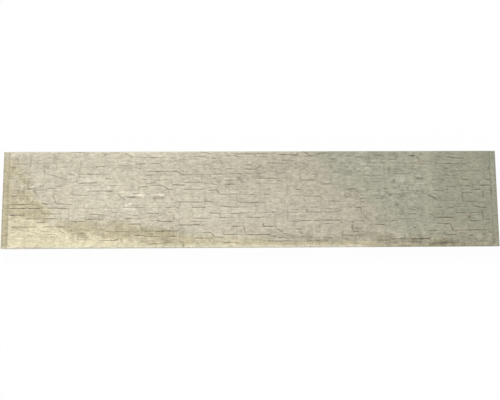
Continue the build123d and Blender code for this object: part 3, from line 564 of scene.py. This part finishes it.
# Its mesh: the face, four sides down to the back, and the back, closed.
columns, rows = x_grid.shape
index = np.arange(columns * rows).reshape(columns, rows)
quads = np.stack([index[:-1, :-1], index[1:, :-1], index[1:, 1:], index[:-1, 1:]], axis=-1)
face_quads = quads.reshape(-1, 4)
rim = np.concatenate([index[:, 0], index[-1, 1:], index[-2::-1, -1], index[0, -2:0:-1]])
face_points = np.stack([x_grid, y_grid, height], axis=-1).reshape(-1, 3)
back_points = face_points[rim] * (1, 1, 0)
back = np.arange(len(rim)) + len(face_points)
side_quads = np.stack([back, np.roll(back, -1), np.roll(rim, -1), rim], axis=-1)
mesh = bpy.data.meshes.new("stone_face")
mesh.from_pydata(np.concatenate([face_points, back_points]).tolist(), [],
                 face_quads.tolist() + side_quads.tolist() + [back[::-1].tolist()])
mesh.update()
smooth = np.arange(len(mesh.polygons)) < len(face_quads)
mesh.polygons.foreach_set("use_smooth", smooth)
for name, values in shade.items():
    attribute = mesh.attributes.new(name, "FLOAT", "POINT")
    attribute.data.foreach_set("value", np.concatenate([values.ravel(), values.ravel()[rim]]))
casting = bpy.data.objects.new("stone_face", mesh)
bpy.context.scene.collection.objects.link(casting)


# Its concrete: a cream cement skin with fine sand in it, darker and greyer towards the right and
# greener there with damp, with rust and soil stains, dirt and painted shade in the joints and
# hollows, painted highlights beside the joints and along the lower edge, pores and pale chips.
class Socket:
    """A node's output. Sums, differences and products with it add Math nodes."""

    tree = None

    def __init__(self, output):
        self.output = output

    @classmethod
    def of(cls, kind, settings=(), sockets=(), output=0):
        """The output of a new node of that type, its settings set before its sockets."""
        node = cls.tree.nodes.new(kind)
        for name, value in dict(settings).items():
            setattr(node, name, value)
        for name, value in dict(sockets).items():
            if isinstance(value, Socket):
                cls.tree.links.new(value.output, node.inputs[name])
            else:
                node.inputs[name].default_value = value
        return cls(node.outputs[output])

    def maths(self, operation, first, second):
        return Socket.of("ShaderNodeMath", {"operation": operation}, {0: first, 1: second})

    def __add__(self, other):
        return self.maths("ADD", self, other)

    def __radd__(self, other):
        return self.maths("ADD", other, self)

    def __sub__(self, other):
        return self.maths("SUBTRACT", self, other)

    def __rsub__(self, other):
        return self.maths("SUBTRACT", other, self)

    def __mul__(self, other):
        return self.maths("MULTIPLY", self, other)

    def __rmul__(self, other):
        return self.maths("MULTIPLY", other, self)


def paint(red, green, blue):
    """A colour picked as it looks on a screen, 0 to 255, as the light values that shaders use."""
    return tuple(((c / 255 + 0.055) / 1.055) ** 2.4 for c in (red, green, blue)) + (1,)


def mixed(under, over, share, blend="MIX"):
    """A colour over another, by a share. In a Mix node for colours these are inputs 6, 7 and 0."""
    return Socket.of(
        "ShaderNodeMix", {"data_type": "RGBA", "blend_type": blend, "clamp_factor": True},
        {6: under, 7: over, 0: share}, output=2)


def stain(name):
    return Socket.of("ShaderNodeAttribute", {"attribute_name": name}, output="Fac")


def cloud(vector, scale, detail, roughness):
    return Socket.of("ShaderNodeTexNoise", sockets={
        "Vector": vector, "Scale": scale, "Detail": detail, "Roughness": roughness})


CREAM = paint(210, 203, 181)
GREY = paint(184, 178, 158)
GREEN = paint(166, 165, 146)
DEEP_GREEN = paint(155, 154, 135)
OCHRE = paint(194, 184, 153)
PALE = paint(223, 214, 182)
SOIL_BROWN = paint(138, 130, 105)
# Pale lime of the bloom, also used for the painted highlight along the lower edge.
LIME_AND_HIGHLIGHT = paint(226, 222, 204)
RUST_RED = paint(178, 150, 128)
# The dark of dirt and of painted shade, in joints, hollows, pores and the left groove.
CREVICE_DIRT_AND_SHADE = paint(92, 82, 62)

material = bpy.data.materials.new("concrete")
material.use_nodes = True
Socket.tree = material.node_tree
place = Socket.of("ShaderNodeTexCoord", output="Object")
stretched = Socket.of("ShaderNodeVectorMath", {"operation": "MULTIPLY"}, {0: place, 1: (0.4, 1, 1)})
mottle = cloud(place, scale=45, detail=5, roughness=0.62)
streak = cloud(stretched, scale=150, detail=2, roughness=0.6)
grain = cloud(place, scale=240, detail=2, roughness=0.6)
sand = cloud(place, scale=700, detail=2, roughness=0.7)
colour = mixed(CREAM, GREY, stain("grey"))
colour = mixed(colour, GREEN, stain("green"))
colour = mixed(colour, DEEP_GREEN, stain("deep"))
colour = mixed(colour, OCHRE, stain("ochre"))
colour = mixed(colour, PALE, stain("pale"))
colour = mixed(colour, LIME_AND_HIGHLIGHT, stain("bloom_and_highlight"))
colour = mixed(colour, SOIL_BROWN, stain("soil"))
colour = mixed(colour, RUST_RED, stain("rust"))
# Dirt and painted shade in the joints and hollows, then pores and the left groove.
colour = mixed(colour, CREVICE_DIRT_AND_SHADE, stain("crevice_dirt_and_shade"))
colour = mixed(colour, CREVICE_DIRT_AND_SHADE, stain("hole_and_groove_shade"))

# How light it is: clouds, streaks, grain and sand, then the stones' tones, painted highlights
# beside the joints, chips, damp with painted shade on the left bevel, and speckles.
lightness = (-0.15 + 0.51 * mottle + 0.85 * streak + 0.70 * grain + 0.15 * sand
             + 0.03 * stain("tone") + 0.04 * stain("edge") + 0.50 * stain("chip")
             - 0.30 * stain("damp_and_bevel_shade")
             + stain("speckle") * (1.2 * grain + 1.2 * mottle - 1.2))
lightness = Socket.of("ShaderNodeCombineColor", sockets={0: lightness, 1: lightness, 2: lightness})
colour = mixed(colour, lightness, 1.0, "MULTIPLY")

relief = 0.4 * streak + 0.4 * grain + 0.2 * sand
bump = Socket.of("ShaderNodeBump", sockets={"Strength": 0.8, "Distance": 0.0015, "Height": relief})
shader = material.node_tree.nodes["Principled BSDF"]
shader.inputs["Roughness"].default_value = 0.92
Socket.tree.links.new(colour.output, shader.inputs["Base Color"])
Socket.tree.links.new(bump.output, shader.inputs["Normal"])
mesh.materials.append(material)

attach(casting, "root")
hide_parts("panel")

# The floor that the panel lies on: a plain white sheet with no edge in view. To the camera it
# is mostly plain white, and the rest shows the panel's soft shadow.
FLOOR_SIZE = 12
FLOOR_WHITE = 0.97           # the share of plain white that the camera sees
SHEET_GREY = (0.9, 0.9, 0.9, 1)


def seen_rays():
    """1 for a ray that shows the background, straight, in a shine or through glass, and else 0."""
    kinds = ("Is Camera Ray", "Is Glossy Ray", "Is Transmission Ray")
    camera, glossy, transmission = (Socket.of("ShaderNodeLightPath", output=kind) for kind in kinds)
    return camera + glossy + transmission


sheet = bpy.data.meshes.new("floor")
sheet.from_pydata(
    [(x * FLOOR_SIZE, y * FLOOR_SIZE, 0) for x, y in ((-1, -1), (1, -1), (1, 1), (-1, 1))],
    [], [(0, 1, 2, 3)])
floor = bpy.data.objects.new("floor", sheet)
bpy.context.scene.collection.objects.link(floor)
floor_material = bpy.data.materials.new("floor")
floor_material.use_nodes = True
Socket.tree = floor_material.node_tree
matt = floor_material.node_tree.nodes["Principled BSDF"]
matt.inputs["Base Color"].default_value = SHEET_GREY
matt.inputs["Roughness"].default_value = 1
white = Socket.of("ShaderNodeEmission", sockets={"Color": (1, 1, 1, 1), "Strength": 1})
ground = Socket.of("ShaderNodeMixShader", sockets={
    0: seen_rays() * FLOOR_WHITE, 1: Socket(matt.outputs[0]), 2: white})
Socket.tree.links.new(ground.output, Socket.tree.nodes["Material Output"].inputs["Surface"])
sheet.materials.append(floor_material)

# The light of a dull day: an even white sky, and soft lamps from beyond the two long edges. To
# the camera, and in a shine, a plain white backdrop stands in place of the sky.
SKY_STRENGTH = 0.43
world = bpy.data.worlds.new("world")
bpy.context.scene.world = world
world.use_nodes = True
Socket.tree = world.node_tree
sky = Socket.of("ShaderNodeBackground", sockets={"Color": (1, 1, 1, 1), "Strength": SKY_STRENGTH})
backdrop = Socket.of("ShaderNodeBackground", sockets={"Color": (1, 1, 1, 1), "Strength": 1})
surround = Socket.of("ShaderNodeMixShader", sockets={0: seen_rays(), 1: sky, 2: backdrop})
Socket.tree.links.new(surround.output, Socket.tree.nodes["World Output"].inputs["Surface"])


def soft_lamp(name, place, size, watts):
    """A square lamp at a place, turned to the panel's middle."""
    lamp = bpy.data.lights.new(name, "AREA")
    lamp.size = size
    lamp.energy = watts
    holder = bpy.data.objects.new(name, lamp)
    bpy.context.scene.collection.objects.link(holder)
    holder.location = place
    holder.rotation_euler = (-Vector(place)).to_track_quat("-Z", "Y").to_euler()


soft_lamp("key", place=(-1.0, 8.2, 5.7), size=4, watts=860)
soft_lamp("fill", place=(0.5, -9.0, 3.2), size=4, watts=420)

# The camera, above the lower long edge of the panel.
SENSOR_WIDTH = 36
LENS = 37.48
CAMERA_PLACE = (-0.0421, -0.1878, 1.9588)
CAMERA_TURNS = (5.477, -1.009, -0.333)       # degrees
camera_data = bpy.data.cameras.new("camera")
camera_data.sensor_width = SENSOR_WIDTH
camera_data.lens = LENS
camera = bpy.data.objects.new("camera", camera_data)
camera.location = CAMERA_PLACE
camera.rotation_euler = [math.radians(turn) for turn in CAMERA_TURNS]
bpy.context.scene.collection.objects.link(camera)
bpy.context.scene.camera = camera
bpy.context.scene.view_settings.view_transform = "Standard"
